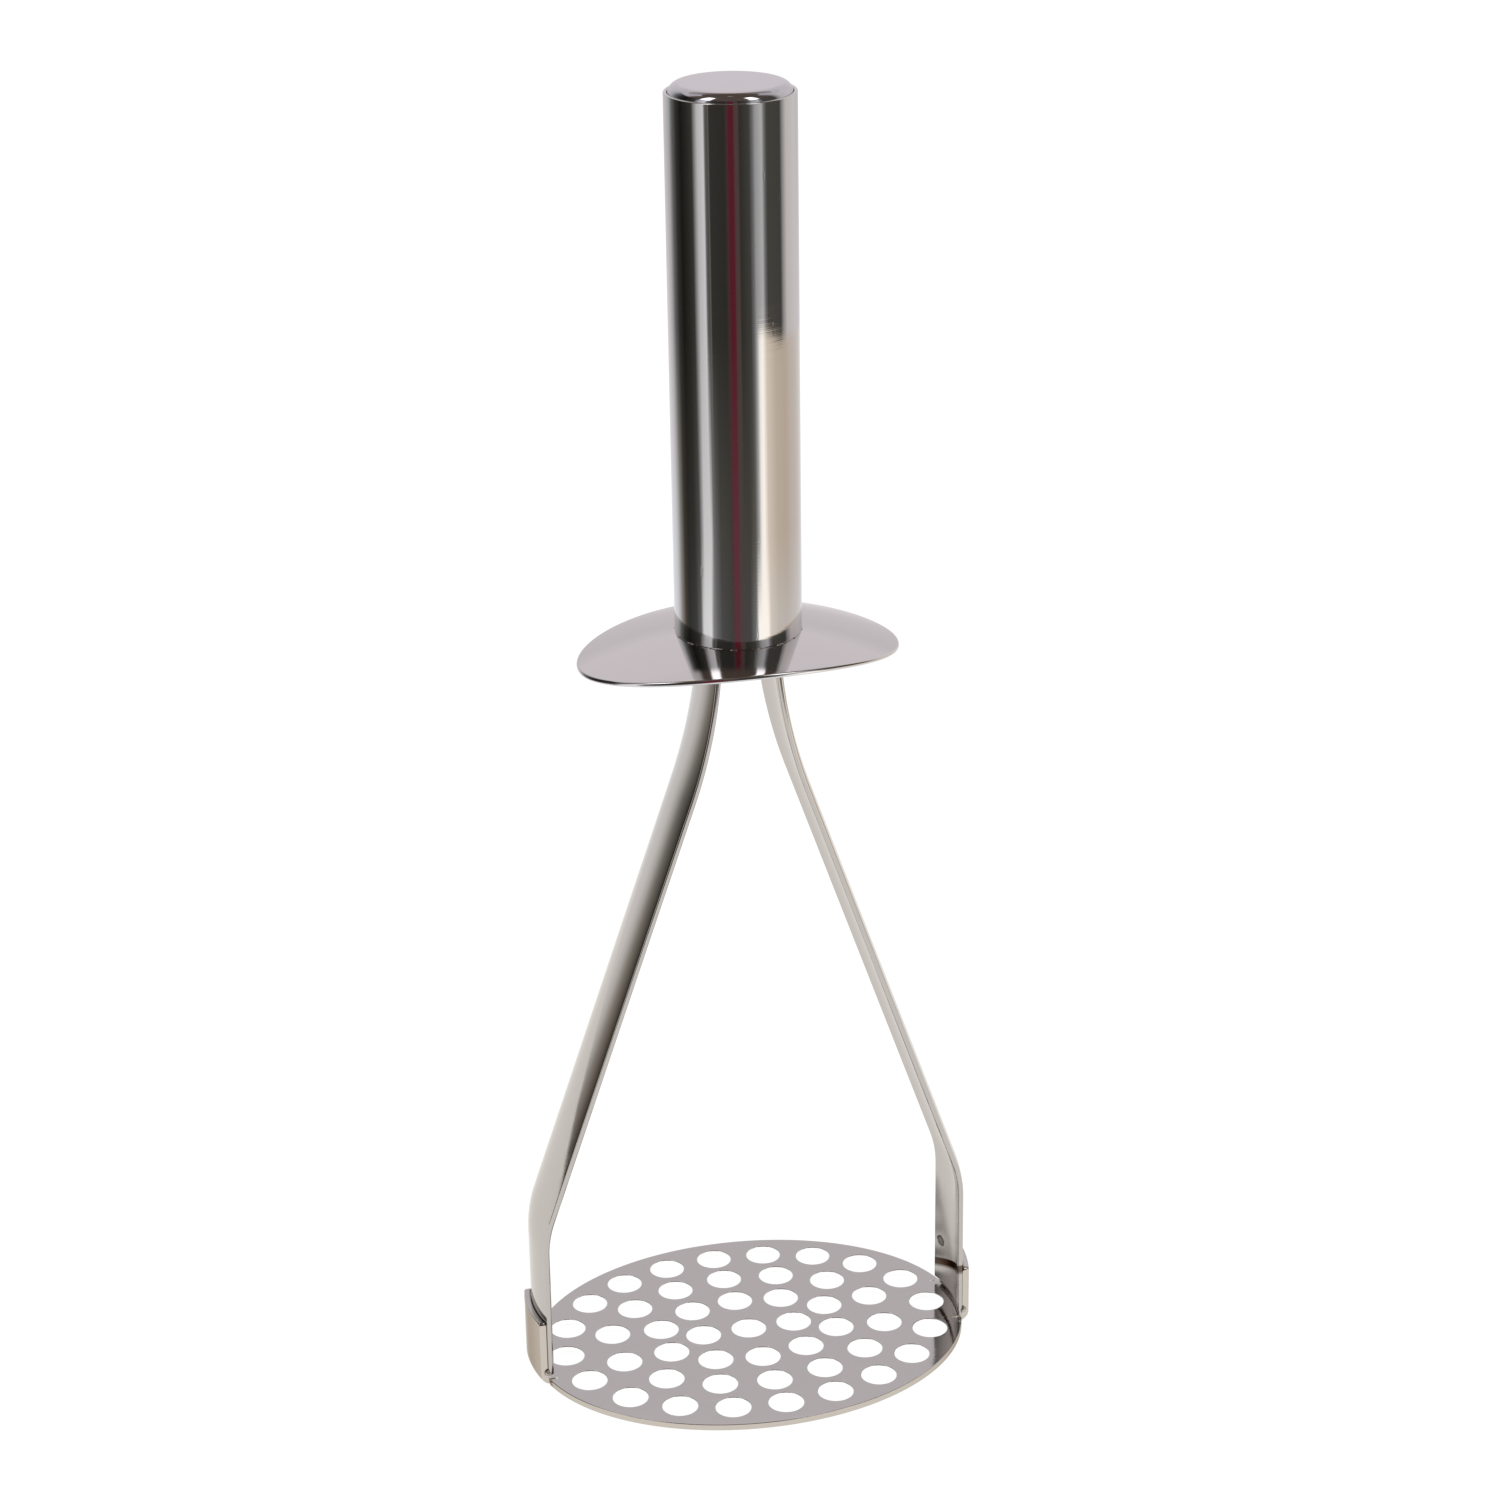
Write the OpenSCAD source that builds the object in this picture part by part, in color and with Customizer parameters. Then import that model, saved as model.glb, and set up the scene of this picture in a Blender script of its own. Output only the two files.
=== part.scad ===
// Oval perforated potato masher: tubular handle, domed guard, two strap legs and a punched plate.
// Origin: centre of the plate's underside. +Z runs up the handle, X runs from leg to leg.

/* [Handle] */
// Outside diameter of the handle tube
tube_d = 28; // [24:0.5:32]
// Wall thickness of the handle tube
tube_wall = 0.8; // [0.6:0.1:1.2]
// Length of the handle tube
tube_len = 118.4; // [90:0.2:140]
// Height of the tube's foot above the plate's underside
tube_z = 179.2; // [160:0.2:179.2]
// How far the cap's flat top stands above the tube's rim
cap_rise = 1.8; // [1:0.1:3]
// Radius of the cap's rounded shoulder
cap_round = 2.4; // [1.5:0.1:3]
// Depth of the cap's skirt inside the tube
cap_skirt = 8; // [4:0.5:14]

/* [Guard] */
// Length of the oval guard, along X
guard_l = 72.2; // [60:0.2:84]
// Width of the oval guard, along Y
guard_w = 49.4; // [40:0.2:56]
// Radius of the guard's dome
dome_r = 104; // [80:1:140]
// Sheet thickness of the guard
guard_t = 1; // [0.8:0.1:1.5]

/* [Legs] */
// Width of the strap that each leg is bent from
strap_w = 18.2; // [14:0.2:19]
// Thickness of the strap
strap_t = 1.3; // [1:0.1:2]
// Distance from the axis to the strap's edges where the legs enter the handle
leg_x_top = 6.3; // [5:0.1:7]
// Distance from the axis to the strap's edges at the feet
leg_x_foot = 49.7; // [46:0.1:52]
// Height where the upper bend begins
leg_z_top = 182; // [180:0.5:186]
// Height where the lower bend ends
leg_z_foot = 34; // [28:0.5:44]
// Radius of the long upper bend
bend_r_top = 120; // [90:5:150]
// Radius of the lower bend
bend_r_foot = 26; // [18:1:40]

/* [Plate] */
// Length of the oval plate without its tabs, along X
plate_l = 103.2; // [100:0.2:106]
// Width of the oval plate, along Y
plate_w = 81.4; // [76:0.2:86]
// Sheet thickness of the plate
plate_t = 1.5; // [1.2:0.1:2]
// Diameter of the punched holes
hole_d = 8.2; // [6:0.1:8.4]
// Height of the upturned tabs above the plate's underside
tab_h = 16.4; // [12:0.4:20]
// Width of the upturned tabs
tab_w = 17; // [12:0.5:18]
// Radius of the tabs' outer face seen from above
tab_r = 31.5; // [29:0.5:33]

/* [Hidden] */
$fn = 96;
eps = 0.01;

tube_r = tube_d / 2;
bore_r = tube_r - tube_wall;
tube_top = tube_z + tube_len;
rim_round = 0.3;

cap_gap = 0.05;
cap_r = bore_r - cap_gap;
cap_wall = 0.8;
cap_top = tube_top + cap_rise;

// The dome's top surface meets the tube's foot all round
dome_z = tube_z - sqrt(dome_r * dome_r - tube_r * tube_r);

// Mid-surface radius of the bowed strap, so that it nests inside the tabs
nest_gap = 0.05;
bow_r = tab_r - plate_t - nest_gap - strap_t / 2;
bow_c = sqrt(bow_r * bow_r - strap_w * strap_w / 4);
tab_axis_x = leg_x_foot - bow_c;
bow_steps = 5;

// Angle and length of the straight stretch between the two bends
bends = bend_r_top + bend_r_foot;
reach = leg_x_foot - leg_x_top;
drop = leg_z_top - leg_z_foot;
slope = atan2(drop, bends - reach) - acos(bends / norm([bends - reach, drop]));
slope_len = (drop - bends * sin(slope)) / cos(slope);

// The strap is a hair thicker in its bends, and the straight stretches run into them
bend_swell = 0.01;
bend_lap = 0.5;

tab_bend = 1;
foot_z = plate_t + tab_bend + 0.1;
leg_top = leg_z_top + 4;
slot_gap = 0.2;
tab_corner = 0.8;
relief = 0.3;
tab_flat_r = tab_r - plate_t - tab_bend;

// Rings of holes, each an ellipse: [semi-axis along X, semi-axis along Y, number of holes]
hole_rings = [[44.3, 33.4, 20], [33, 23.5, 14], [22, 13, 10]];
middle_pitch = 11.1;

bead_r = 0.22;
bead_count = 16;
bead_arc = 9;

function ellipse_points(a, b, n) = [for (i = [0:n - 1]) [a * cos(360 * i / n), b * sin(360 * i / n)]];

// Running length along an ellipse in small steps, paired with the angle reached
function arc_table(a, b, steps = 180, i = 0, run = 0) =
    i > steps ? [] : concat(
        [[run, 360 * i / steps]],
        arc_table(a, b, steps, i + 1, run + norm([
            a * (cos(360 * (i + 1) / steps) - cos(360 * i / steps)),
            b * (sin(360 * (i + 1) / steps) - sin(360 * i / steps))])));

// Points spaced evenly along an ellipse, the first on the Y axis
function spaced_points(a, b, n) =
    let (table = arc_table(a, b))
    let (total = table[len(table) - 1][0])
    [for (i = [0:n - 1])
        let (t = lookup(((i + n / 4) % n) * total / n, table))
        [a * cos(t), b * sin(t)]];

module handle_tube() {
    color("silver")
        rotate_extrude()
            polygon([
                [bore_r, tube_z],
                [tube_r, tube_z],
                [tube_r, tube_top - rim_round],
                [tube_r - rim_round, tube_top],
                [bore_r, tube_top]]);
}

// Half section of the cap's outside, shrunk by an even wall thickness
module cap_profile(inset) {
    r = cap_r - inset;
    top = cap_top - inset;
    round_r = cap_round - inset;
    low = tube_top - cap_skirt;
    translate([0, low])
        square([r, top - round_r - low]);
    translate([0, low])
        square([r - round_r, top - low]);
    intersection() {
        translate([r - round_r, top - round_r])
            circle(round_r);
        square([r + 1, top + 1]);
    }
}

module top_cap() {
    color("gainsboro")
        rotate_extrude()
            difference() {
                cap_profile(0);
                cap_profile(cap_wall);
                translate([0, tube_top - cap_skirt - 1])
                    square([cap_r - cap_wall, 1 + eps]);
            }
}

// Points of one arc across the strap; its corners are half_width off the middle line
function bow_arc(radius, half_width) =
    let (half_angle = asin(half_width / radius))
    [for (i = [-bow_steps:bow_steps])
        [radius * cos(half_angle * i / bow_steps) - bow_c,
         radius * sin(half_angle * i / bow_steps)]];

function backwards(points) = [for (i = [len(points) - 1:-1:0]) points[i]];

// Bowed strap section: X is outward across the thickness, Y is along the width
module strap_section(gap = 0) {
    polygon(concat(
        bow_arc(bow_r + strap_t / 2 + gap, strap_w / 2 + gap),
        backwards(bow_arc(bow_r - strap_t / 2 - gap, strap_w / 2 + gap))));
}

module guard_plate() {
    color("silver")
        difference() {
            intersection() {
                translate([0, 0, dome_z])
                    difference() {
                        sphere(dome_r);
                        sphere(dome_r - guard_t);
                    }
                translate([0, 0, tube_z - 15])
                    linear_extrude(20)
                        polygon(ellipse_points(guard_l / 2, guard_w / 2, 120));
            }
            for (side = [0, 1])
                mirror([side, 0, 0])
                    translate([leg_x_top, 0, tube_z - 4])
                        linear_extrude(8)
                            strap_section(slot_gap);
        }
}

// Short weld beads round the foot of the tube, laid on the guard
module tube_weld() {
    color("gray")
        for (i = [0:bead_count - 1])
            rotate([0, 0, 360 * i / bead_count])
                translate([0, 0, tube_z])
                    rotate_extrude(angle = bead_arc)
                        translate([tube_r, 0])
                            circle(bead_r, $fn = 24);
}

// One leg on the +X side
module leg() {
    translate([leg_x_top, 0, leg_z_top - bend_lap])
        linear_extrude(leg_top - leg_z_top + bend_lap)
            strap_section();
    translate([leg_x_top + bend_r_top, 0, leg_z_top])
        rotate([90, 0, 0])
            rotate([0, 0, 180])
                rotate_extrude(angle = slope)
                    translate([bend_r_top, 0])
                        mirror([1, 0])
                            strap_section(bend_swell);
    translate([leg_x_foot - bend_r_foot, 0, leg_z_foot])
        rotate([90, 0, 0])
            rotate_extrude(angle = slope)
                translate([bend_r_foot, 0])
                    strap_section(bend_swell);
    translate([
        leg_x_foot - bend_r_foot * (1 - cos(slope)), 0,
        leg_z_foot + bend_r_foot * sin(slope)])
        rotate([0, -slope, 0])
            translate([0, 0, -bend_lap])
                linear_extrude(slope_len + 2 * bend_lap)
                    strap_section();
    translate([leg_x_foot, 0, foot_z])
        linear_extrude(leg_z_foot - foot_z + bend_lap)
            strap_section();
}

module right_leg() {
    color("silver")
        leg();
}

module left_leg() {
    color("silver")
        mirror([1, 0, 0])
            leg();
}

// Fillet beads inside the tube, where the legs come up through the guard
module leg_welds() {
    color("dimgray")
        for (side = [-1, 1])
            translate([side * (leg_x_top + bow_r - bow_c - strap_t / 2 - 0.6), 0, tube_z + 1])
                rotate([90, 0, 0])
                    cylinder(r = 0.8, h = strap_w * 0.4, center = true, $fn = 24);
}

// Upright outline of a tab seen along X, with rounded top corners
module tab_outline() {
    translate([-tab_w / 2, -1])
        square([tab_w, tab_h - tab_corner + 1]);
    translate([tab_corner - tab_w / 2, -1])
        square([tab_w - 2 * tab_corner, tab_h + 1]);
    for (side = [-1, 1])
        translate([side * (tab_w / 2 - tab_corner), tab_h - tab_corner])
            circle(tab_corner);
}

// Bent-up tab at the +X end, part of a ring about its own upright axis
module tab() {
    bend_out = tab_bend + plate_t;
    intersection() {
        translate([tab_axis_x, 0, 0])
            rotate_extrude() {
                translate([tab_flat_r - 4, 0])
                    square([4, plate_t]);
                intersection() {
                    translate([tab_flat_r, bend_out])
                        difference() {
                            circle(bend_out);
                            circle(tab_bend);
                        }
                    translate([tab_flat_r, 0])
                        square(bend_out);
                }
                translate([tab_r - plate_t, bend_out])
                    square([plate_t, tab_h - bend_out + 1]);
            }
        translate([tab_axis_x + tab_r / 2, 0, 0])
            rotate([90, 0, 90])
                linear_extrude(tab_r)
                    tab_outline();
    }
}

// Sheet removed beyond the tab's bend, with a narrow relief cut on both sides
module tab_clearing() {
    translate([tab_axis_x, 0, -1])
        intersection() {
            difference() {
                cylinder(r = 2 * tab_r, h = plate_t + 2);
                translate([0, 0, -1])
                    cylinder(r = tab_flat_r - 1, h = plate_t + 4);
            }
            translate([0, -tab_w / 2 - relief, 0])
                cube([2 * tab_r, tab_w + 2 * relief, plate_t + 2]);
        }
}

module mashing_plate() {
    color("lightgray")
        difference() {
            union() {
                difference() {
                    linear_extrude(plate_t)
                        polygon(ellipse_points(plate_l / 2, plate_w / 2, 144));
                    for (side = [0, 1])
                        mirror([side, 0, 0])
                            tab_clearing();
                }
                for (side = [0, 1])
                    mirror([side, 0, 0])
                        tab();
            }
            for (ring = hole_rings)
                for (p = spaced_points(ring[0], ring[1], ring[2]))
                    translate([p[0], p[1], -1])
                        cylinder(d = hole_d, h = plate_t + 2, $fn = 48);
            for (i = [-1:1])
                translate([i * middle_pitch, 0, -1])
                    cylinder(d = hole_d, h = plate_t + 2, $fn = 48);
        }
}

// Spot of weld at the front edge of a foot, where the leg meets the tab's edge
module foot_weld() {
    seam_r = tab_r - plate_t;
    translate([tab_axis_x + sqrt(seam_r * seam_r - tab_w * tab_w / 4), -tab_w / 2, foot_z + 0.6])
        sphere(0.9, $fn = 24);
}

module right_foot_weld() {
    color("gray")
        foot_weld();
}

module left_foot_weld() {
    color("gray")
        mirror([1, 0, 0])
            foot_weld();
}

handle_tube();
top_cap();
guard_plate();
tube_weld();
left_leg();
right_leg();
leg_welds();
mashing_plate();
left_foot_weld();
right_foot_weld();
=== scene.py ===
import math
import random

import bmesh
import bpy
from mathutils import Matrix, Vector, noise


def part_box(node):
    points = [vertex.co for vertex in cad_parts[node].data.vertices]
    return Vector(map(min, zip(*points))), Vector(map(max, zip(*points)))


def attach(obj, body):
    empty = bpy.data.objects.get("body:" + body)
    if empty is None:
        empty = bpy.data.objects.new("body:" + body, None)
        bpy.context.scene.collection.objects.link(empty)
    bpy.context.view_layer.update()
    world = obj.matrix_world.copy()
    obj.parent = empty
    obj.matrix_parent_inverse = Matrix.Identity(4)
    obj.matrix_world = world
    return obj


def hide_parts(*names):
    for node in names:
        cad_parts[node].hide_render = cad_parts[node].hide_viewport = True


# Potato masher: polished steel tube, domed guard, two bowed strap legs and an oval punched plate.
# Lengths in the sizes below are in millimetres; MM turns them into Blender's metres.
MM = 0.001

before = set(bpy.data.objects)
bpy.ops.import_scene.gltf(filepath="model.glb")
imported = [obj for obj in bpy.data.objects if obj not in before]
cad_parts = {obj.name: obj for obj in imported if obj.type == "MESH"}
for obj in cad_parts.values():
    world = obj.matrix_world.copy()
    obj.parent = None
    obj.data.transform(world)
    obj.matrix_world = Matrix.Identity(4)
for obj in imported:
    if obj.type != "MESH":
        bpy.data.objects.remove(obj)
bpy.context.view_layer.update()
draw = random.Random(11)


def node_box(name):
    """Lowest and highest corner of a CAD node, in millimetres."""
    low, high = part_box(name)
    return Vector(low) / MM, Vector(high) / MM


# ---------------------------------------------------------------- sizes, from the CAD frame

tube_low, tube_high = node_box("handle_tube")
cap_low, cap_high = node_box("top_cap")
guard_high = node_box("guard_plate")[1]
plate_high = node_box("mashing_plate")[1]

TUBE_R = tube_high.x
TUBE_WALL = 0.8
TUBE_FOOT = tube_low.z
TUBE_TOP = tube_high.z

CAP_R = cap_high.x
CAP_WALL = 0.8
CAP_ROUND = 2.4

GUARD_A = guard_high.x
GUARD_B = guard_high.y
GUARD_T = 1.0
DOME_R = 104.0
DOME_Z = TUBE_FOOT - math.sqrt(DOME_R ** 2 - TUBE_R ** 2)  # centre of the dome's sphere
SLOT_GAP = 0.2  # clearance round a leg in its slot
SLOT_REACH = 6.0  # how far the slot cutter runs above and below the tube's foot

PLATE_A = 51.6
PLATE_B = plate_high.y
PLATE_T = 1.5
PLATE_EDGE = 0.16  # rounding of the plate's rim and of the holes
HOLE_R = 4.1
HOLE_RINGS = ((44.3, 33.4, 20), (33.0, 23.5, 14), (22.0, 13.0, 10))  # semi-axes, number of holes
MIDDLE_PITCH = 11.1
HOLED_A = 50.4  # semi-axes of the oval that holds every hole, short of the rim
HOLED_B = 40.0

TAB_R = 31.5  # outer radius of the tab's bow, seen from above
TAB_BEND = 1.0  # inside radius of the bend at the tab's foot
TAB_TOP = 16.4
TAB_W = 17.0
TAB_CORNER = 0.8
TAB_SLANT = 0.13  # drop of the right tab's top edge toward the front, per millimetre
NOTCH = 0.5  # relief notch beside each tab

STRAP_W = 18.2
STRAP_T = 1.3
LEG_X_TOP = 6.3
LEG_X_FOOT = 49.7
LEG_Z_TOP = 182.0
LEG_Z_FOOT = 34.0
BEND_R_TOP = 120.0
BEND_R_FOOT = 26.0
FOOT_Z = 2.6  # lower end of the legs
LEG_TOP = LEG_Z_TOP + 4
LEG_TO_TAB = 0.05  # gap between a leg's foot and the tab behind it

TACKS = 16  # weld tacks round the tube's foot
TACK_R = 0.2
TACK_ARC = 9.0  # degrees
FOOT_WELD_R = 0.8

# The strap's bow, and where its centre lies from the strap's middle line
BOW_R = TAB_R - PLATE_T - LEG_TO_TAB - STRAP_T / 2
BOW_C = math.sqrt(BOW_R ** 2 - STRAP_W ** 2 / 4)
TAB_AXIS_X = LEG_X_FOOT - BOW_C
TAB_FLAT_R = TAB_R - PLATE_T - TAB_BEND

# The lean of a leg's straight run, which meets both bends without a kink
REACH = LEG_X_FOOT - LEG_X_TOP
DROP = LEG_Z_TOP - LEG_Z_FOOT
BENDS = BEND_R_TOP + BEND_R_FOOT
SLOPE = math.atan2(DROP, BENDS - REACH) - math.acos(BENDS / math.hypot(BENDS - REACH, DROP))


# ---------------------------------------------------------------- shape helpers

def corner_arc(outline, i, radius, steps):
    """The arc that replaces corner i of a closed 2-D outline."""
    here = Vector(outline[i])
    back = (Vector(outline[i - 1]) - here).normalized()
    ahead = (Vector(outline[(i + 1) % len(outline)]) - here).normalized()
    half = back.angle(ahead) / 2
    centre = here + (back + ahead).normalized() * radius / math.sin(half)
    start = here + back * radius / math.tan(half) - centre
    end = here + ahead * radius / math.tan(half) - centre
    turn = start.angle_signed(end)
    return [centre + Matrix.Rotation(-turn * k / steps, 2) @ start for k in range(steps + 1)]


def rounded(corners, radius, steps=4):
    """A closed 2-D outline with every corner turned into an arc."""
    return [point for i in range(len(corners)) for point in corner_arc(corners, i, radius, steps)]


def from_bmesh(name, mesh, smooth=True):
    """Turns a finished bmesh into an object in the scene."""
    data = bpy.data.meshes.new(name)
    mesh.to_mesh(data)
    mesh.free()
    if smooth:
        data.shade_smooth()
    piece = bpy.data.objects.new(name, data)
    bpy.context.scene.collection.objects.link(piece)
    return piece


def skin(name, loops, join_ends=False):
    """A closed mesh through equal rings of points, given in millimetres."""
    mesh = bmesh.new()
    rows = [[mesh.verts.new(Vector(p) * MM) for p in loop] for loop in loops]
    pairs = list(zip(rows, rows[1:]))
    if join_ends:
        pairs.append((rows[-1], rows[0]))
    for low, high in pairs:
        for i in range(len(low)):
            k = (i + 1) % len(low)
            mesh.faces.new((low[i], low[k], high[k], high[i]))
    if not join_ends:
        mesh.faces.new(list(reversed(rows[0])))
        mesh.faces.new(rows[-1])
    bmesh.ops.recalc_face_normals(mesh, faces=mesh.faces)
    return from_bmesh(name, mesh)


def circle(radius, z, count=192):
    """Points round a level circle about the Z axis."""
    return [(radius * math.cos(math.tau * i / count), radius * math.sin(math.tau * i / count), z)
            for i in range(count)]


def soften(piece, width, angle=50, segments=3):
    """Rounds the sharp edges that are left, and keeps the flat faces flat."""
    edge = piece.modifiers.new("rounded edges", "BEVEL")
    edge.width = width * MM
    edge.segments = segments
    edge.limit_method = "ANGLE"
    edge.angle_limit = math.radians(angle)


def even_shading(piece):
    """Lets the large faces decide the shading, so that small roundings don't tilt it."""
    weigh = piece.modifiers.new("even shading", "WEIGHTED_NORMAL")
    weigh.mode = "FACE_AREA"
    weigh.weight = 60


def place(piece, slot, material, *nodes):
    """Puts the material on a piece, hides the CAD nodes it stands for, and lets it ride."""
    piece.data.materials.clear()
    piece.data.materials.append(material)
    even_shading(piece)
    if nodes:
        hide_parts(*nodes)
    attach(piece, "root")
    return piece


def ellipse(a, b, angle):
    """A point on an ellipse with semi-axes a along X and b along Y."""
    return a * math.cos(angle), b * math.sin(angle)


def evenly_round(a, b, count):
    """Points the same distance apart along an ellipse, the first on the Y axis."""
    fine = [ellipse(a, b, math.tau * i / 1440) for i in range(1441)]
    run = [0.0]
    for p, q in zip(fine, fine[1:]):
        run.append(run[-1] + math.dist(p, q))
    points = []
    for i in range(count):
        want = (i / count + 0.25) % 1 * run[-1]
        near = min(range(len(run)), key=lambda k: abs(run[k] - want))
        points.append(fine[near])
    return points


# ---------------------------------------------------------------- materials

def steel(name, colour, roughness, grain, grain_depth, wave_depth=0.0, scratch=0.0, spread=0.0):
    """Polished steel. grain is how fine the brushing is along X, Y and Z, in lines per metre."""
    material = bpy.data.materials.new(name)
    material.use_nodes = True
    nodes = material.node_tree.nodes
    links = material.node_tree.links
    shader = nodes["Principled BSDF"]
    shader.inputs["Metallic"].default_value = 1.0
    shader.inputs["Base Color"].default_value = (*colour, 1)
    place_in = nodes.new("ShaderNodeTexCoord")

    def noise_at(scale, detail=3.0, rough=0.55):
        mapping = nodes.new("ShaderNodeMapping")
        mapping.inputs["Scale"].default_value = scale
        links.new(place_in.outputs["Object"], mapping.inputs["Vector"])
        texture = nodes.new("ShaderNodeTexNoise")
        texture.inputs["Scale"].default_value = 1.0
        texture.inputs["Detail"].default_value = detail
        texture.inputs["Roughness"].default_value = rough
        links.new(mapping.outputs["Vector"], texture.inputs["Vector"])
        return texture

    def stretch(texture, low, high, out_low, out_high):
        span = nodes.new("ShaderNodeMapRange")
        span.inputs["From Min"].default_value = low
        span.inputs["From Max"].default_value = high
        span.inputs["To Min"].default_value = out_low
        span.inputs["To Max"].default_value = out_high
        links.new(texture.outputs["Fac"], span.inputs["Value"])
        return span

    brushing = noise_at(grain)
    rough = stretch(brushing, 0.3, 0.7, roughness - spread, roughness + spread)
    links.new(rough.outputs["Result"], shader.inputs["Roughness"])

    fine = nodes.new("ShaderNodeBump")
    fine.inputs["Strength"].default_value = 1.0
    fine.inputs["Distance"].default_value = grain_depth * MM
    links.new(brushing.outputs["Fac"], fine.inputs["Height"])
    last = fine
    if wave_depth:
        waves = noise_at((45, 45, 45), 1.0, 0.4)
        soft = nodes.new("ShaderNodeBump")
        soft.inputs["Strength"].default_value = 1.0
        soft.inputs["Distance"].default_value = wave_depth * MM
        links.new(waves.outputs["Fac"], soft.inputs["Height"])
        links.new(last.outputs["Normal"], soft.inputs["Normal"])
        last = soft
    if scratch:
        lines = noise_at((900, 60, 140), 2.0, 0.6)
        cuts = stretch(lines, 0.68, 0.74, 0.0, 1.0)
        nick = nodes.new("ShaderNodeBump")
        nick.inputs["Strength"].default_value = 1.0
        nick.inputs["Distance"].default_value = -scratch * MM
        links.new(cuts.outputs["Result"], nick.inputs["Height"])
        links.new(last.outputs["Normal"], nick.inputs["Normal"])
        last = nick
    links.new(last.outputs["Normal"], shader.inputs["Normal"])
    return material


def math_node(material, operation, first, second=0.0):
    node = material.node_tree.nodes.new("ShaderNodeMath")
    node.operation = operation
    for socket, value in zip(node.inputs, (first, second)):
        if isinstance(value, (int, float)):
            socket.default_value = value
        else:
            material.node_tree.links.new(value, socket)
    return node.outputs["Value"]


def ramp(material, value, low, high):
    """0 at low, 1 at high, smooth between; low may be the larger of the two."""
    node = material.node_tree.nodes.new("ShaderNodeMapRange")
    node.interpolation_type = "SMOOTHSTEP"
    node.inputs["From Min"].default_value = low
    node.inputs["From Max"].default_value = high
    material.node_tree.links.new(value, node.inputs["Value"])
    return node.outputs["Result"]


def position(material):
    """X, Y and Z in metres, from the origin under the plate."""
    nodes = material.node_tree.nodes
    split = nodes.new("ShaderNodeSeparateXYZ")
    material.node_tree.links.new(nodes.new("ShaderNodeTexCoord").outputs["Object"], split.inputs["Vector"])
    return split.outputs["X"], split.outputs["Y"], split.outputs["Z"]


def tint(material, factor, colour):
    """Mixes another colour into the base, and into the glancing reflections, wherever factor is 1."""
    shader = material.node_tree.nodes["Principled BSDF"]
    links = material.node_tree.links
    for socket in (shader.inputs["Base Color"], shader.inputs["Specular Tint"]):
        mix = material.node_tree.nodes.new("ShaderNodeMix")
        mix.data_type = "RGBA"
        if socket.links:
            links.new(socket.links[0].from_socket, mix.inputs[6])
        else:
            mix.inputs[6].default_value = socket.default_value
        mix.inputs[7].default_value = (*colour, 1)
        links.new(factor, mix.inputs["Factor"])
        links.new(mix.outputs[2], socket)


def dull(material, factor, extra):
    """Adds to the roughness wherever factor is 1."""
    rough = material.node_tree.nodes["Principled BSDF"].inputs["Roughness"]
    more = math_node(material, "MULTIPLY", factor, extra)
    total = math_node(material, "ADD", rough.links[0].from_socket, more)
    material.node_tree.links.new(total, rough)


def paint_hole_wall_light_and_rim_shade(material):
    """Painted light on the plate's upright faces: the hole walls are tinted to a full white mirror, a painted
    reflection that makes them read as bright as the floor, and the outer rim is tinted darker and warmer, a
    painted shade.
    """
    x, y, z = position(material)
    geometry = material.node_tree.nodes.new("ShaderNodeNewGeometry")
    split = material.node_tree.nodes.new("ShaderNodeSeparateXYZ")
    material.node_tree.links.new(geometry.outputs["True Normal"], split.inputs["Vector"])
    upright = ramp(material, math_node(material, "ABSOLUTE", split.outputs["Z"]), 0.8, 0.5)
    across = math_node(material, "POWER", math_node(material, "DIVIDE", x, HOLED_A * MM), 2)
    along = math_node(material, "POWER", math_node(material, "DIVIDE", y, HOLED_B * MM), 2)
    inside = ramp(material, math_node(material, "ADD", across, along), 1.0, 0.98)
    # Painted reflection: the upright hole walls become a full white mirror.
    tint(material, math_node(material, "MULTIPLY", upright, inside), (1.0, 1.0, 1.0))
    # Painted shade: the upright outer rim is tinted darker and warmer.
    rim = math_node(material, "MULTIPLY", upright, math_node(material, "SUBTRACT", 1.0, inside))
    tint(material, rim, (0.56, 0.51, 0.45))


def mark_feet(material):
    """A duller right foot, with a dark burnt band and the dimple of a spot weld."""
    x, y, z = position(material)
    right = ramp(material, x, -1 * MM, 1 * MM)
    low = math_node(material, "MULTIPLY", ramp(material, z, 36 * MM, 26 * MM), right)
    dull(material, low, 0.17)
    climb = math_node(material, "ADD", z, math_node(material, "MULTIPLY", y, 0.42))
    band = math_node(material, "MULTIPLY", ramp(material, climb, 8.9 * MM, 10.2 * MM),
                     ramp(material, climb, 11.9 * MM, 11.5 * MM))
    band = math_node(material, "MULTIPLY", band, right)
    tint(material, math_node(material, "MULTIPLY", band, 0.9), (0.10, 0.07, 0.055))
    squares = 0.0
    for value, middle, reach in ((y, 5.9, 1.6), (z, 13.9, 1.3)):
        off = math_node(material, "DIVIDE", math_node(material, "SUBTRACT", value, middle * MM), reach * MM)
        squares = math_node(material, "ADD", squares, math_node(material, "MULTIPLY", off, off))
    spot = math_node(material, "MULTIPLY", ramp(material, squares, 1.2, 0.8), right)
    tint(material, math_node(material, "MULTIPLY", spot, 0.75), (0.15, 0.145, 0.12))
    bump = material.node_tree.nodes.new("ShaderNodeBump")
    bump.inputs["Distance"].default_value = -0.15 * MM
    shader = material.node_tree.nodes["Principled BSDF"]
    dent = math_node(material, "MULTIPLY", ramp(material, squares, 1.6, 0.1), right)
    material.node_tree.links.new(dent, bump.inputs["Height"])
    material.node_tree.links.new(shader.inputs["Normal"].links[0].from_socket, bump.inputs["Normal"])
    material.node_tree.links.new(bump.outputs["Normal"], shader.inputs["Normal"])


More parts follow.
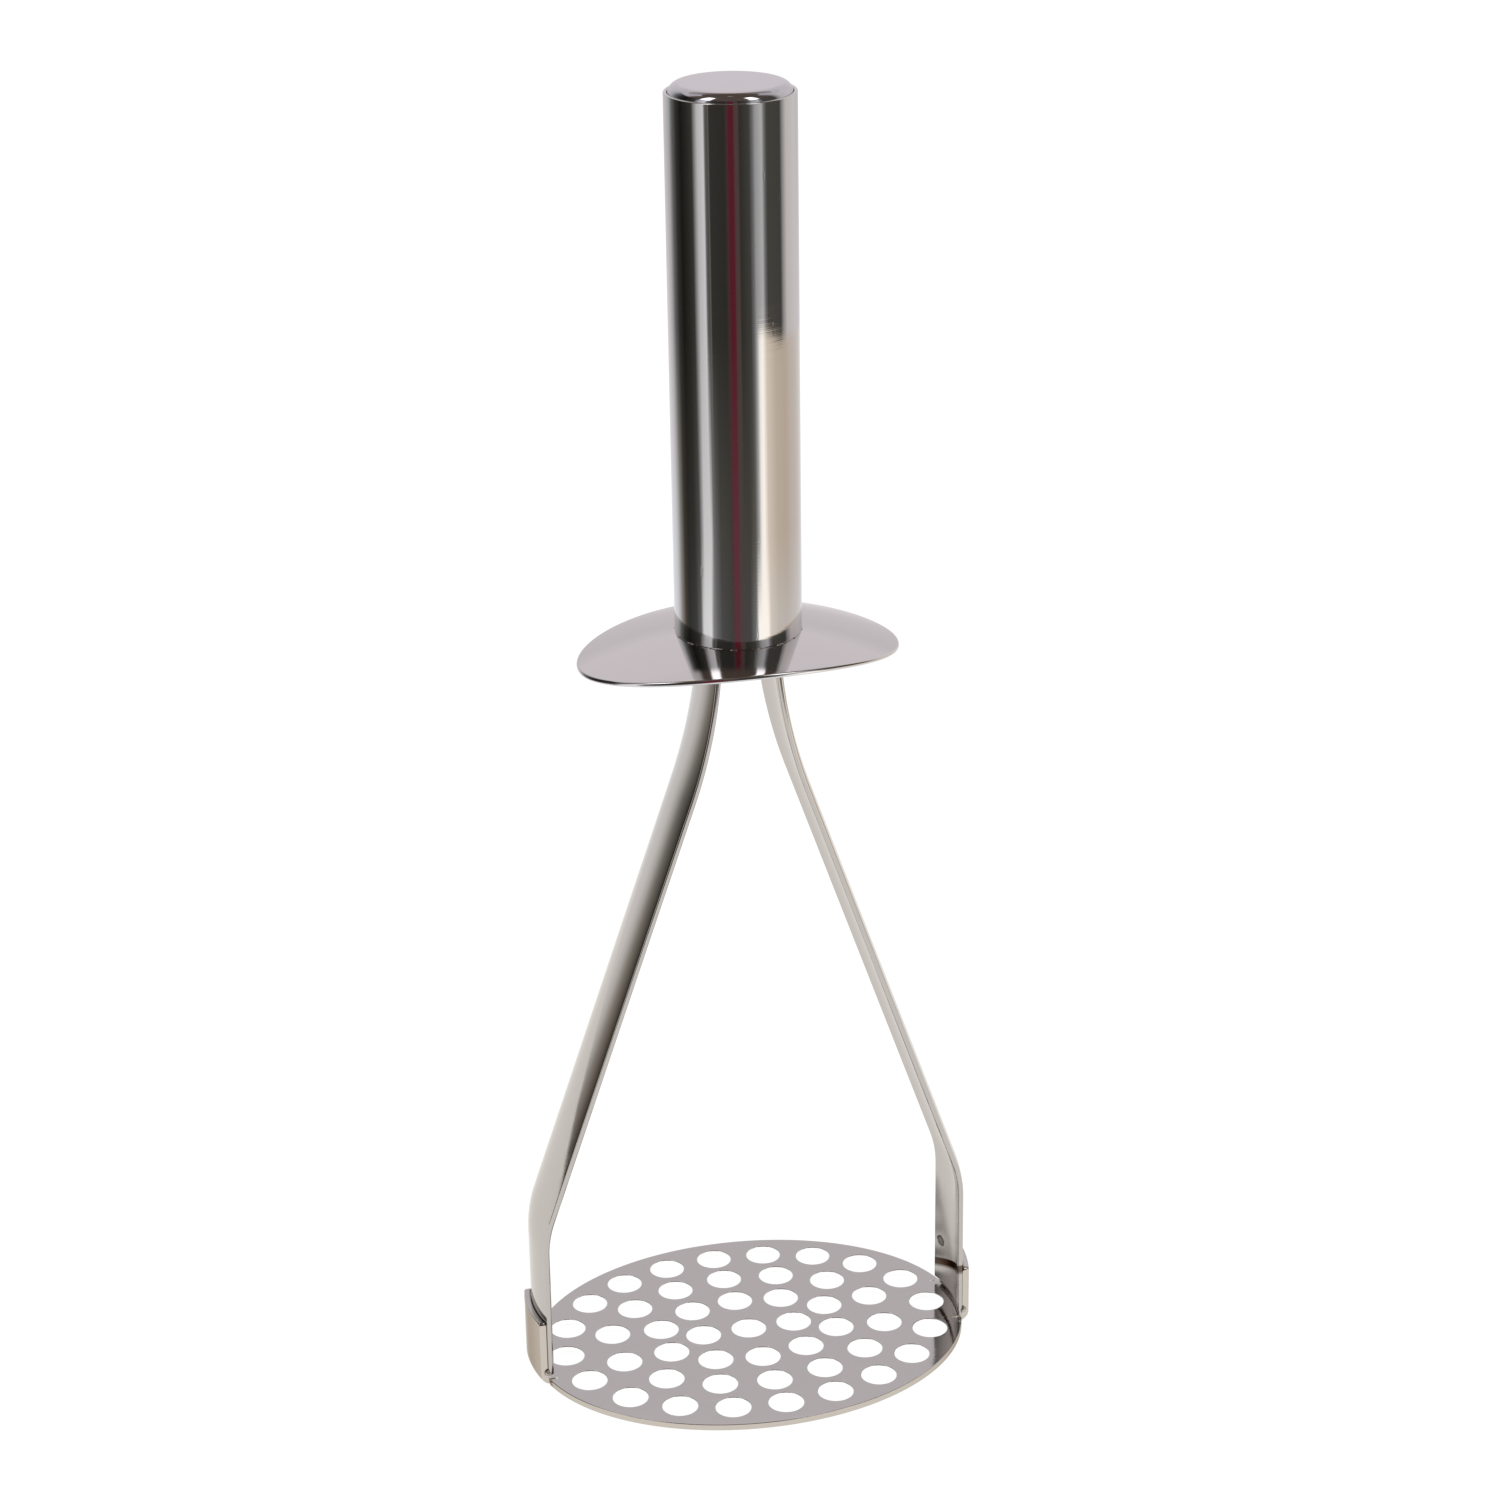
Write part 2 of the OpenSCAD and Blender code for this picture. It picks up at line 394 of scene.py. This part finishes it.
tube_steel = steel("tube_steel", (0.56, 0.55, 0.55), 0.045, (30, 30, 2600), 0.002,
                   wave_depth=0.02, scratch=0.003, spread=0.02)
cap_steel = steel("cap_steel", (0.53, 0.52, 0.56), 0.08, (500, 60, 500), 0.0008, spread=0.02)
guard_steel = steel("guard_steel", (0.64, 0.62, 0.63), 0.07, (120, 60, 60), 0.002,
                    wave_depth=0.03, spread=0.02)
strap_steel = steel("strap_steel", (0.50, 0.47, 0.44), 0.075, (700, 700, 30), 0.001,
                    wave_depth=0.03, spread=0.025)
plate_steel = steel("plate_steel", (0.56, 0.545, 0.545), 0.09, (160, 160, 160), 0.003,
                    wave_depth=0.03, spread=0.04)
strap_steel.node_tree.nodes["Principled BSDF"].inputs["Specular Tint"].default_value = (0.9, 0.88, 0.85, 1)
# Painted reflection on the plate's hole walls and painted shade on its rim.
paint_hole_wall_light_and_rim_shade(plate_steel)
mark_feet(strap_steel)
weld_steel = steel("weld_steel", (0.45, 0.42, 0.38), 0.28, (900, 900, 900), 0.02, spread=0.1)


# ---------------------------------------------------------------- handle tube and cap

def make_tube():
    bore = TUBE_R - TUBE_WALL
    profile = rounded([(TUBE_R, TUBE_FOOT), (TUBE_R, TUBE_TOP), (bore, TUBE_TOP), (bore, TUBE_FOOT)], 0.28)
    return skin("tube", [circle(r, z) for r, z in profile], join_ends=True)


def make_cap():
    top = cap_high.z
    low = cap_low.z
    shoulder = CAP_R - CAP_ROUND
    inside = CAP_R - CAP_WALL
    profile = [(0.02, top)]
    profile += [(shoulder * k / 6, top) for k in range(1, 6)]
    for k in range(13):
        turn = math.pi / 2 * k / 12
        profile.append((shoulder + CAP_ROUND * math.sin(turn), top - CAP_ROUND * (1 - math.cos(turn))))
    profile += [(CAP_R, low + 0.3), (CAP_R - 0.3, low), (inside, low)]
    for k in range(7):
        turn = math.pi / 2 * (1 - k / 6)
        reach = CAP_ROUND - CAP_WALL
        profile.append((shoulder + reach * math.sin(turn), top - CAP_ROUND + reach * math.cos(turn)))
    profile.append((0.02, top - CAP_WALL))
    return skin("cap", [circle(r, z) for r, z in profile])


place(make_tube(), "tube_steel", tube_steel, "handle_tube")
place(make_cap(), "cap_steel", cap_steel, "top_cap")


# ---------------------------------------------------------------- domed guard

def dome(x, y, radius):
    return DOME_Z + math.sqrt(radius ** 2 - x * x - y * y)


def guard_ring(inset, depth, count=240):
    """One ring of the guard: inset is measured in from the rim, depth down from the dome's top."""
    ring = []
    for i in range(count):
        angle = math.tau * i / count
        x, y = ellipse(GUARD_A, GUARD_B, angle)
        out = Vector((x / GUARD_A ** 2, y / GUARD_B ** 2)).normalized()
        x -= out.x * inset
        y -= out.y * inset
        ring.append((x, y, dome(x, y, DOME_R - depth)))
    return ring


def shrunk_ring(ring, share, depth):
    return [(x * share, y * share, dome(x * share, y * share, DOME_R - depth)) for x, y, z in ring]


def make_guard():
    curl = 0.4
    steps = 5
    top_edge = guard_ring(curl, 0)
    under_edge = guard_ring(curl, GUARD_T)
    shares = [0.02, 0.1] + [0.2 + 0.8 * k / 24 for k in range(24)]
    rings = [shrunk_ring(top_edge, share, 0) for share in shares]
    for k in range(steps + 1):
        turn = math.pi / 2 * k / steps
        rings.append(guard_ring(curl * (1 - math.sin(turn)), curl * (1 - math.cos(turn))))
    for k in range(steps + 1):
        turn = math.pi / 2 * k / steps
        rings.append(guard_ring(curl * (1 - math.cos(turn)), GUARD_T - curl * (1 - math.sin(turn))))
    rings += [shrunk_ring(under_edge, share, GUARD_T) for share in reversed(shares)]
    return skin("guard", rings)


# ---------------------------------------------------------------- strap legs

def strap_section(corner=0.45, swell=0.0):
    """Bowed section of the strap: outward across the thickness, then along the width."""
    steps = 10
    outline = []
    for radius, order in ((BOW_R + STRAP_T / 2 + swell, 1), (BOW_R - STRAP_T / 2 - swell, -1)):
        half = math.asin((STRAP_W / 2 + swell) / radius)
        for k in range(-steps, steps + 1):
            angle = order * half * k / steps
            outline.append((radius * math.cos(angle) - BOW_C, radius * math.sin(angle)))
    ends = (0, 2 * steps, 2 * steps + 1, 4 * steps + 1)
    section = []
    for i, point in enumerate(outline):
        section += corner_arc(outline, i, corner, 5) if i in ends else [Vector(point)]
    return section


def leg_line():
    """Stations down the leg's middle line: x, z and how far the strap leans outward."""
    line = [(LEG_X_TOP, LEG_TOP, 0.0)]
    for k in range(25):
        lean = SLOPE * k / 24
        line.append((LEG_X_TOP + BEND_R_TOP * (1 - math.cos(lean)),
                     LEG_Z_TOP - BEND_R_TOP * math.sin(lean), lean))
    below = []
    for k in range(17):
        lean = SLOPE * k / 16
        below.append((LEG_X_FOOT - BEND_R_FOOT * (1 - math.cos(lean)),
                      LEG_Z_FOOT + BEND_R_FOOT * math.sin(lean), lean))
    x0, z0, lean = line[-1]
    x1, z1, lean = below[-1]
    line += [(x0 + (x1 - x0) * k / 12, z0 + (z1 - z0) * k / 12, lean) for k in range(1, 12)]
    line += reversed(below)
    line += [(LEG_X_FOOT, LEG_Z_FOOT + (FOOT_Z - LEG_Z_FOOT) * k / 10, 0.0) for k in range(1, 11)]
    return line


def make_leg(name, side):
    section = strap_section()
    loops = []
    for x, z, lean in leg_line():
        loops.append([(side * (x + u * math.cos(lean)), v, z + u * math.sin(lean)) for u, v in section])
    leg = skin(name, loops)
    soften(leg, 0.4)
    return leg


def slot_cutter(side):
    """The curved slot that a leg passes through in the guard."""
    section = strap_section(SLOT_GAP, SLOT_GAP)
    heights = (TUBE_FOOT - SLOT_REACH, TUBE_FOOT + SLOT_REACH)
    loops = [[(side * (LEG_X_TOP + u), v, z) for u, v in section] for z in heights]
    return skin("slot cutter", loops)


def cut(piece, cutter):
    """Takes the cutter's shape out of a piece, for good."""
    step = piece.modifiers.new("cut", "BOOLEAN")
    step.operation = "DIFFERENCE"
    step.solver = "EXACT"
    step.object = cutter
    bpy.context.view_layer.update()
    shape = piece.evaluated_get(bpy.context.evaluated_depsgraph_get())
    data = bpy.data.meshes.new_from_object(shape)
    piece.modifiers.clear()
    piece.data = data
    bpy.data.objects.remove(cutter)


guard = make_guard()
for side in (-1, 1):
    cut(guard, slot_cutter(side))
place(guard, "guard_steel", guard_steel, "guard_plate")

place(make_leg("leg_left", -1), "strap_steel", strap_steel, "left_leg")
place(make_leg("leg_right", 1), "strap_steel", strap_steel, "right_leg")


# ---------------------------------------------------------------- punched plate and its tabs

def plate_outline():
    """The oval rim, stepping in beside each tab for the relief notches."""
    notch_y = TAB_W / 2 + NOTCH
    quarter = []
    first = math.asin(notch_y / PLATE_B)
    last = math.pi - first
    for k in range(73):
        quarter.append(ellipse(PLATE_A, PLATE_B, first + (last - first) * k / 72))
    inner_x = TAB_AXIS_X + math.sqrt((TAB_FLAT_R - 1.2) ** 2 - notch_y ** 2)
    flat = []
    for k in range(-8, 9):
        y = TAB_W / 2 * k / 8
        flat.append((TAB_AXIS_X + math.sqrt(TAB_FLAT_R ** 2 - y * y), y))
    tab_side = [(inner_x, -notch_y), (inner_x, -TAB_W / 2)] + flat
    tab_side += [(inner_x, TAB_W / 2), (inner_x, notch_y)]
    outline = tab_side + quarter
    return outline + [(-x, -y) for x, y in outline]


def hole_centres():
    centres = [(i * MIDDLE_PITCH, 0.0) for i in (-1, 0, 1)]
    for a, b, count in HOLE_RINGS:
        centres += evenly_round(a, b, count)
    return centres


def add_outline(curve, points):
    spline = curve.splines.new("POLY")
    spline.points.add(len(points) - 1)
    for point, (x, y) in zip(spline.points, points):
        point.co = (x * MM, y * MM, 0, 1)
    spline.use_cyclic_u = True


def make_plate():
    curve = bpy.data.curves.new("plate outline", "CURVE")
    curve.dimensions = "2D"
    curve.fill_mode = "BOTH"
    curve.extrude = (PLATE_T / 2 - PLATE_EDGE) * MM
    curve.bevel_depth = PLATE_EDGE * MM
    curve.bevel_resolution = 2
    curve.offset = -PLATE_EDGE * MM
    add_outline(curve, plate_outline())
    for cx, cy in hole_centres():
        add_outline(curve, [(cx + x, cy + y) for x, y, z in circle(HOLE_R, 0, 56)])
    holder = bpy.data.objects.new("plate curve", curve)
    holder.location.z = PLATE_T / 2 * MM
    bpy.context.scene.collection.objects.link(holder)
    bpy.context.view_layer.update()
    data = bpy.data.meshes.new_from_object(holder.evaluated_get(bpy.context.evaluated_depsgraph_get()))
    data.transform(holder.matrix_world)
    bpy.data.objects.remove(holder)
    mesh = bmesh.new()
    mesh.from_mesh(data)
    bmesh.ops.remove_doubles(mesh, verts=mesh.verts, dist=0.002 * MM)
    bmesh.ops.recalc_face_normals(mesh, faces=mesh.faces)
    for face in mesh.faces:
        face.smooth = abs(face.normal.z) < 0.999
    return from_bmesh("plate", mesh, smooth=False)


def make_tab(name, side, slant):
    """The end of the plate, bent up round the leg's foot. Its top drops by slant toward the front."""
    lap = 2.0  # how far the tab runs on into the plate
    sink = 0.005  # keeps that lap just under the plate's faces
    bend_out = TAB_BEND + PLATE_T
    half = TAB_W / 2
    near_edge = [0, 0.1, 0.3, 0.6, 1.0, 1.5, 2.1]
    stations = [-half + step for step in near_edge]
    stations += [-6.0 + 0.75 * k for k in range(17)]
    stations += [half - step for step in reversed(near_edge)]
    loops = []
    for y in stations:
        over = min(TAB_CORNER, max(0.0, abs(y) - (half - TAB_CORNER)))
        top = TAB_TOP - slant * (half - y) - TAB_CORNER + math.sqrt(TAB_CORNER ** 2 - over ** 2)
        profile = [(TAB_FLAT_R - lap, sink), (TAB_FLAT_R, sink)]
        profile += [(TAB_FLAT_R + bend_out * math.sin(math.pi * k / 24),
                     bend_out * (1 - math.cos(math.pi * k / 24))) for k in range(1, 13)]
        rim = 0.35
        for k in range(5):
            turn = math.pi / 2 * k / 4
            profile.append((TAB_R - rim * (1 - math.cos(turn)), top - rim * (1 - math.sin(turn))))
        for k in range(5):
            turn = math.pi / 2 * k / 4
            profile.append((TAB_R - PLATE_T + rim * (1 - math.sin(turn)), top - rim * (1 - math.cos(turn))))
        profile += [(TAB_FLAT_R + TAB_BEND * math.cos(math.pi * k / 24),
                     bend_out - TAB_BEND * math.sin(math.pi * k / 24)) for k in range(0, 13)]
        profile.append((TAB_FLAT_R - lap, PLATE_T - sink))
        loops.append([(side * (TAB_AXIS_X + math.sqrt(r * r - y * y)), y, z) for r, z in profile])
    tab = skin(name, loops)
    soften(tab, 0.25)
    return tab


place(make_plate(), "plate_steel", plate_steel, "mashing_plate")
place(make_tab("tab_left", -1, 0.0), "plate_steel", plate_steel, "mashing_plate")
place(make_tab("tab_right", 1, TAB_SLANT), "plate_steel", plate_steel, "mashing_plate")


# ---------------------------------------------------------------- welds

def bead(points, radius, lump=0.25):
    """Rings round a short line of weld, fat in the middle and closed at the ends."""
    rings = []
    last = len(points) - 1
    for i, point in enumerate(points):
        here = Vector(point)
        along = (Vector(points[min(i + 1, last)]) - Vector(points[max(i - 1, 0)])).normalized()
        side = along.cross(Vector((0, 0, 1)))
        side = side.normalized() if side.length > 0.1 else Vector((1, 0, 0))
        up = side.cross(along)
        share = i / last
        size = radius * max(0.08, math.sin(math.pi * share)) ** 0.5
        ring = []
        for k in range(12):
            angle = math.tau * k / 12
            spot = here + (side * math.cos(angle) + up * math.sin(angle)) * size
            spot += (spot - here) * lump * noise.noise(spot * 2.3)
            ring.append(spot)
        rings.append(ring)
    return rings


def make_tube_weld():
    """Short tacks round the tube's foot, joined as one piece."""
    parts = []
    for i in range(TACKS):
        start = math.tau * i / TACKS + draw.uniform(-0.02, 0.02)
        span = math.radians(TACK_ARC) * draw.uniform(0.75, 1.05)
        points = []
        for k in range(9):
            angle = start + span * k / 8
            points.append((TUBE_R * math.cos(angle), TUBE_R * math.sin(angle), TUBE_FOOT))
        parts.append(skin(f"tack_{i}", bead(points, TACK_R)))
    return joined("tube_weld_tacks", parts)


def joined(name, parts):
    """One piece made of several, which are removed."""
    mesh = bmesh.new()
    for part in parts:
        mesh.from_mesh(part.data)
        bpy.data.objects.remove(part)
    return from_bmesh(name, mesh)


def make_foot_weld(name, side):
    """A short upright weld in the seam between a leg's front edge and its tab."""
    x = TAB_AXIS_X + math.sqrt((TAB_R - PLATE_T) ** 2 - TAB_W ** 2 / 4)
    points = [(side * x, -TAB_W / 2 - 0.1, FOOT_Z - 0.2 + 0.2 * k) for k in range(9)]
    return skin(name, bead(points, FOOT_WELD_R, lump=0.5))


place(make_tube_weld(), "weld_steel", weld_steel, "tube_weld")
place(make_foot_weld("foot_weld_left", -1), "weld_steel", weld_steel, "left_foot_weld")
place(make_foot_weld("foot_weld_right", 1), "weld_steel", weld_steel, "right_foot_weld")
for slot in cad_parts["leg_welds"].material_slots:
    slot.material = weld_steel


# ---------------------------------------------------------------- floor, light and cards

def glow(name):
    """A plain card material that takes its colour from the card's own corners."""
    material = bpy.data.materials.new(name)
    material.use_nodes = True
    nodes = material.node_tree.nodes
    nodes.clear()
    colours = nodes.new("ShaderNodeVertexColor")
    colours.layer_name = "shade"
    light = nodes.new("ShaderNodeEmission")
    light.inputs["Strength"].default_value = 1.0
    out = nodes.new("ShaderNodeOutputMaterial")
    material.node_tree.links.new(colours.outputs["Color"], light.inputs["Color"])
    material.node_tree.links.new(light.outputs["Emission"], out.inputs["Surface"])
    return material


DIP_FROM = 50  # degrees to the right at which a row begins to dip
DIP_OVER = 35


def wall(name, radius, rows, facing):
    """A curved card round the masher, in rows of shades given by degrees from facing.

    Each row is its height straight ahead, how far it dips over on the right, and its shades.
    """
    def shade(stops, angle):
        for (a, first), (b, second) in zip(stops, stops[1:]):
            if a <= angle <= b:
                share = (angle - a) / (b - a)
                return [p + (q - p) * share for p, q in zip(first, second)]
        return list(stops[-1][1])

    first, last = rows[0][2][0][0], rows[0][2][-1][0]
    count = int((last - first) * 2)
    mesh = bmesh.new()
    layer = mesh.loops.layers.float_color.new("shade")
    columns = []
    for i in range(count + 1):
        offset = first + (last - first) * i / count
        angle = math.radians(facing + offset)
        x, y = radius * math.cos(angle), radius * math.sin(angle)
        share = min(max((offset - DIP_FROM) / DIP_OVER, 0), 1)
        columns.append((offset, [mesh.verts.new((x, y, z - dip * share)) for z, dip, stops in rows]))
    for (a, left), (b, right) in zip(columns, columns[1:]):
        for k in range(len(rows) - 1):
            face = mesh.faces.new((left[k], right[k], right[k + 1], left[k + 1]))
            for loop, (offset, level) in zip(face.loops, ((a, k), (b, k), (b, k + 1), (a, k + 1))):
                loop[layer] = (*shade(rows[level][2], offset), 1)
    card = from_bmesh(name, mesh, smooth=False)
    card.data.materials.append(glow(name))
    card.visible_camera = False
    card.visible_diffuse = False
    card.visible_shadow = False
    card.visible_transmission = False


def grey(value):
    return (value, value, value)


def dim(value):
    """A dark corner of the room, a little warm and green."""
    return (value * 1.04, value, value * 0.86)


def behind(stops, colour):
    """The same shades, with another colour behind the masher."""
    return [(angle, colour if abs(angle) > 140 else shade) for angle, shade in stops]


# The camera's place in millimetres and its turn in degrees. FACING is the bearing of the camera
# seen from the masher, from which the room's shades are laid out.
YAW = 14.67
PITCH = 22.23
ROLL = -0.796
CAMERA_AT = Vector((-182.5, -705.8, 448.2))
FACING = math.degrees(math.atan2(CAMERA_AT.y, CAMERA_AT.x))

# Shades of the room, from far left round to far right: (degrees from the camera's bearing, colour).
# FOOT is the row nearest the floor, LOW is a beige wall on the right, HIGH the dark corner over it.
# FLARE holds two bright lamps, and ABOVE the dark ceiling.
BACK = (0.74, 0.70, 0.715)
FOOT = [(-180, (0.98, 1.02, 1.08)), (-136, (0.98, 0.98, 1.02)), (-127, grey(0.8)), (-117, (0.4, 0.37, 0.35)),
        (-106, (0.11, 0.09, 0.07)), (-96, grey(0.05)), (-78, grey(0.08)), (-68, grey(0.22)), (-63, grey(1.1)),
        (-48, grey(1.2)), (-44, grey(0.4)), (-36, grey(0.22)), (-28, grey(0.12)), (-12, grey(0.09)),
        (-6, (0.12, 0.07, 0.07)), (-4, (0.17, 0.06, 0.08)), (3, (0.17, 0.06, 0.08)), (5, (0.12, 0.09, 0.085)),
        (22, grey(0.1)), (33, grey(0.3)), (38, (1.7, 1.65, 1.55)), (55, (1.75, 1.62, 1.46)),
        (61, (1.1, 1.0, 0.9)), (78, (0.9, 0.83, 0.75)), (98, (0.86, 0.79, 0.72)), (132, (0.92, 0.88, 0.85)),
        (180, (0.98, 0.96, 0.96))]
LOW = [(-180, (0.98, 1.02, 1.08)), (-136, (0.95, 0.95, 0.98)), (-127, grey(0.75)), (-117, (0.36, 0.34, 0.31)),
       (-106, (0.08, 0.07, 0.055)), (-95, dim(0.04)), (-80, dim(0.05)), (-68, dim(0.12)), (-63, grey(0.5)),
       (-59, grey(0.98)), (-45, grey(1.02)), (-41, grey(0.3)), (-36, grey(0.2)), (-28, dim(0.1)),
       (-12, dim(0.085)), (-7, (0.11, 0.06, 0.06)), (-4, (0.19, 0.05, 0.07)), (3, (0.19, 0.05, 0.07)),
       (6, (0.11, 0.09, 0.08)), (24, dim(0.09)), (34, dim(0.17)), (40, grey(0.6)), (45, (1.5, 1.45, 1.38)),
       (50, (1.72, 1.6, 1.45)), (58, (1.1, 0.96, 0.82)), (76, (0.84, 0.72, 0.57)), (98, (0.78, 0.65, 0.53)),
       (112, (0.84, 0.73, 0.64)), (132, (0.86, 0.78, 0.72)), (180, (0.96, 0.95, 0.95))]
HIGH = [(-180, BACK), (-145, BACK), (-132, grey(0.62)), (-120, grey(0.2)), (-108, dim(0.05)),
        (-95, dim(0.015)), (-80, dim(0.035)), (-70, dim(0.06)), (-66, grey(0.3)), (-59, grey(0.8)),
        (-48, grey(1.0)), (-45, grey(0.2)), (-41, dim(0.11)), (-39, dim(0.19)), (-37, dim(0.05)),
        (-12, dim(0.04)), (-7, (0.09, 0.05, 0.05)), (-4, (0.15, 0.02, 0.035)), (3, (0.15, 0.02, 0.035)),
        (6, (0.12, 0.075, 0.07)), (11, (0.12, 0.08, 0.075)), (14, dim(0.045)), (30, dim(0.08)),
        (36, grey(0.25)), (40, grey(0.5)), (52, grey(0.72)), (57, grey(0.25)), (62, dim(0.09)),
        (90, dim(0.08)), (96, grey(0.4)), (106, (0.85, 0.79, 0.76)), (132, (0.9, 0.86, 0.86)), (150, BACK),
        (180, BACK)]
DARK = (0.13, 0.10, 0.08)
FLARE = [(-180, BACK), (-105, BACK), (-90, DARK), (-66, DARK), (-62, grey(3.0)), (-44, grey(3.0)),
         (-40, DARK), (38, DARK), (42, grey(3.0)), (58, grey(3.0)), (62, DARK), (90, DARK), (105, BACK),
         (180, BACK)]
ABOVE = [(-180, DARK), (180, DARK)]
BEIGE_LINE = (1.0, 0.9, 0.72)
NEAR_BACK = (0.84, 0.80, 0.815)
HIGH_BACK = (0.84, 0.79, 0.81)

# The seam between LOW and HIGH, which changes abruptly only on the right
MIDDLE = [stop for stop in behind(HIGH, NEAR_BACK) if stop[0] < 37] + [stop for stop in LOW if stop[0] > 38]

wall("room", 0.42, [(0.0, 0.0, FOOT), (0.035, 0.0, FOOT), (0.065, 0.0, LOW), (0.136, 0.005, MIDDLE),
                    (0.139, 0.005, behind(HIGH, NEAR_BACK)), (0.2, 0.0, HIGH), (0.3, 0.0, HIGH),
                    (0.36, 0.0, behind(HIGH, HIGH_BACK)), (0.5, 0.0, behind(HIGH, HIGH_BACK)),
                    (0.58, 0.0, behind(HIGH, HIGH_BACK)), (0.61, 0.0, behind(FLARE, HIGH_BACK)),
                    (0.68, 0.0, behind(FLARE, HIGH_BACK)), (0.69, 0.0, behind(FLARE, BEIGE_LINE)),
                    (0.73, 0.0, behind(FLARE, BEIGE_LINE)), (0.74, 0.0, behind(FLARE, DARK)),
                    (1.05, 0.0, behind(FLARE, DARK)), (1.1, 0.0, ABOVE), (12.0, 0.0, ABOVE)], FACING)


FLOOR_R = 6.0  # metres


def make_floor():
    """A wide round floor, pale enough to read as white paper."""
    mesh = bmesh.new()
    mesh.faces.new([mesh.verts.new(point) for point in circle(FLOOR_R, 0, 48)])
    floor = from_bmesh("floor", mesh, smooth=False)
    material = bpy.data.materials.new("pale floor")
    material.use_nodes = True
    shader = material.node_tree.nodes["Principled BSDF"]
    shader.inputs["Base Color"].default_value = (0.1, 0.1, 0.1, 1)
    shader.inputs["Roughness"].default_value = 1.0
    shader.inputs["Specular IOR Level"].default_value = 0.0
    shader.inputs["Emission Color"].default_value = (1, 1, 1, 1)
    shader.inputs["Emission Strength"].default_value = 0.94
    floor.data.materials.append(material)


make_floor()

world = bpy.data.worlds.new("soft studio")
bpy.context.scene.world = world
world.use_nodes = True
world.node_tree.nodes["Background"].inputs["Color"].default_value = (0.74, 0.70, 0.715, 1)
world.node_tree.nodes["Background"].inputs["Strength"].default_value = 1.0

lamp = bpy.data.lights.new("overhead softbox", "AREA")
lamp.shape = "SQUARE"
lamp.size = 1.6
lamp.energy = 22
softbox = bpy.data.objects.new("overhead softbox", lamp)
softbox.location = (0.2, -0.2, 1.9)
bpy.context.scene.collection.objects.link(softbox)
softbox.visible_glossy = False


# ---------------------------------------------------------------- camera

lens = bpy.data.cameras.new("camera")
lens.lens = 85
lens.sensor_width = 36
lens.clip_start = 0.05
camera = bpy.data.objects.new("camera", lens)
camera.matrix_world = (Matrix.Translation(CAMERA_AT * MM)
                       @ Matrix.Rotation(math.radians(-YAW), 4, "Z")
                       @ Matrix.Rotation(math.radians(90 - PITCH), 4, "X")
                       @ Matrix.Rotation(math.radians(ROLL), 4, "Z"))
bpy.context.scene.collection.objects.link(camera)
bpy.context.scene.camera = camera
bpy.context.scene.view_settings.view_transform = "Standard"
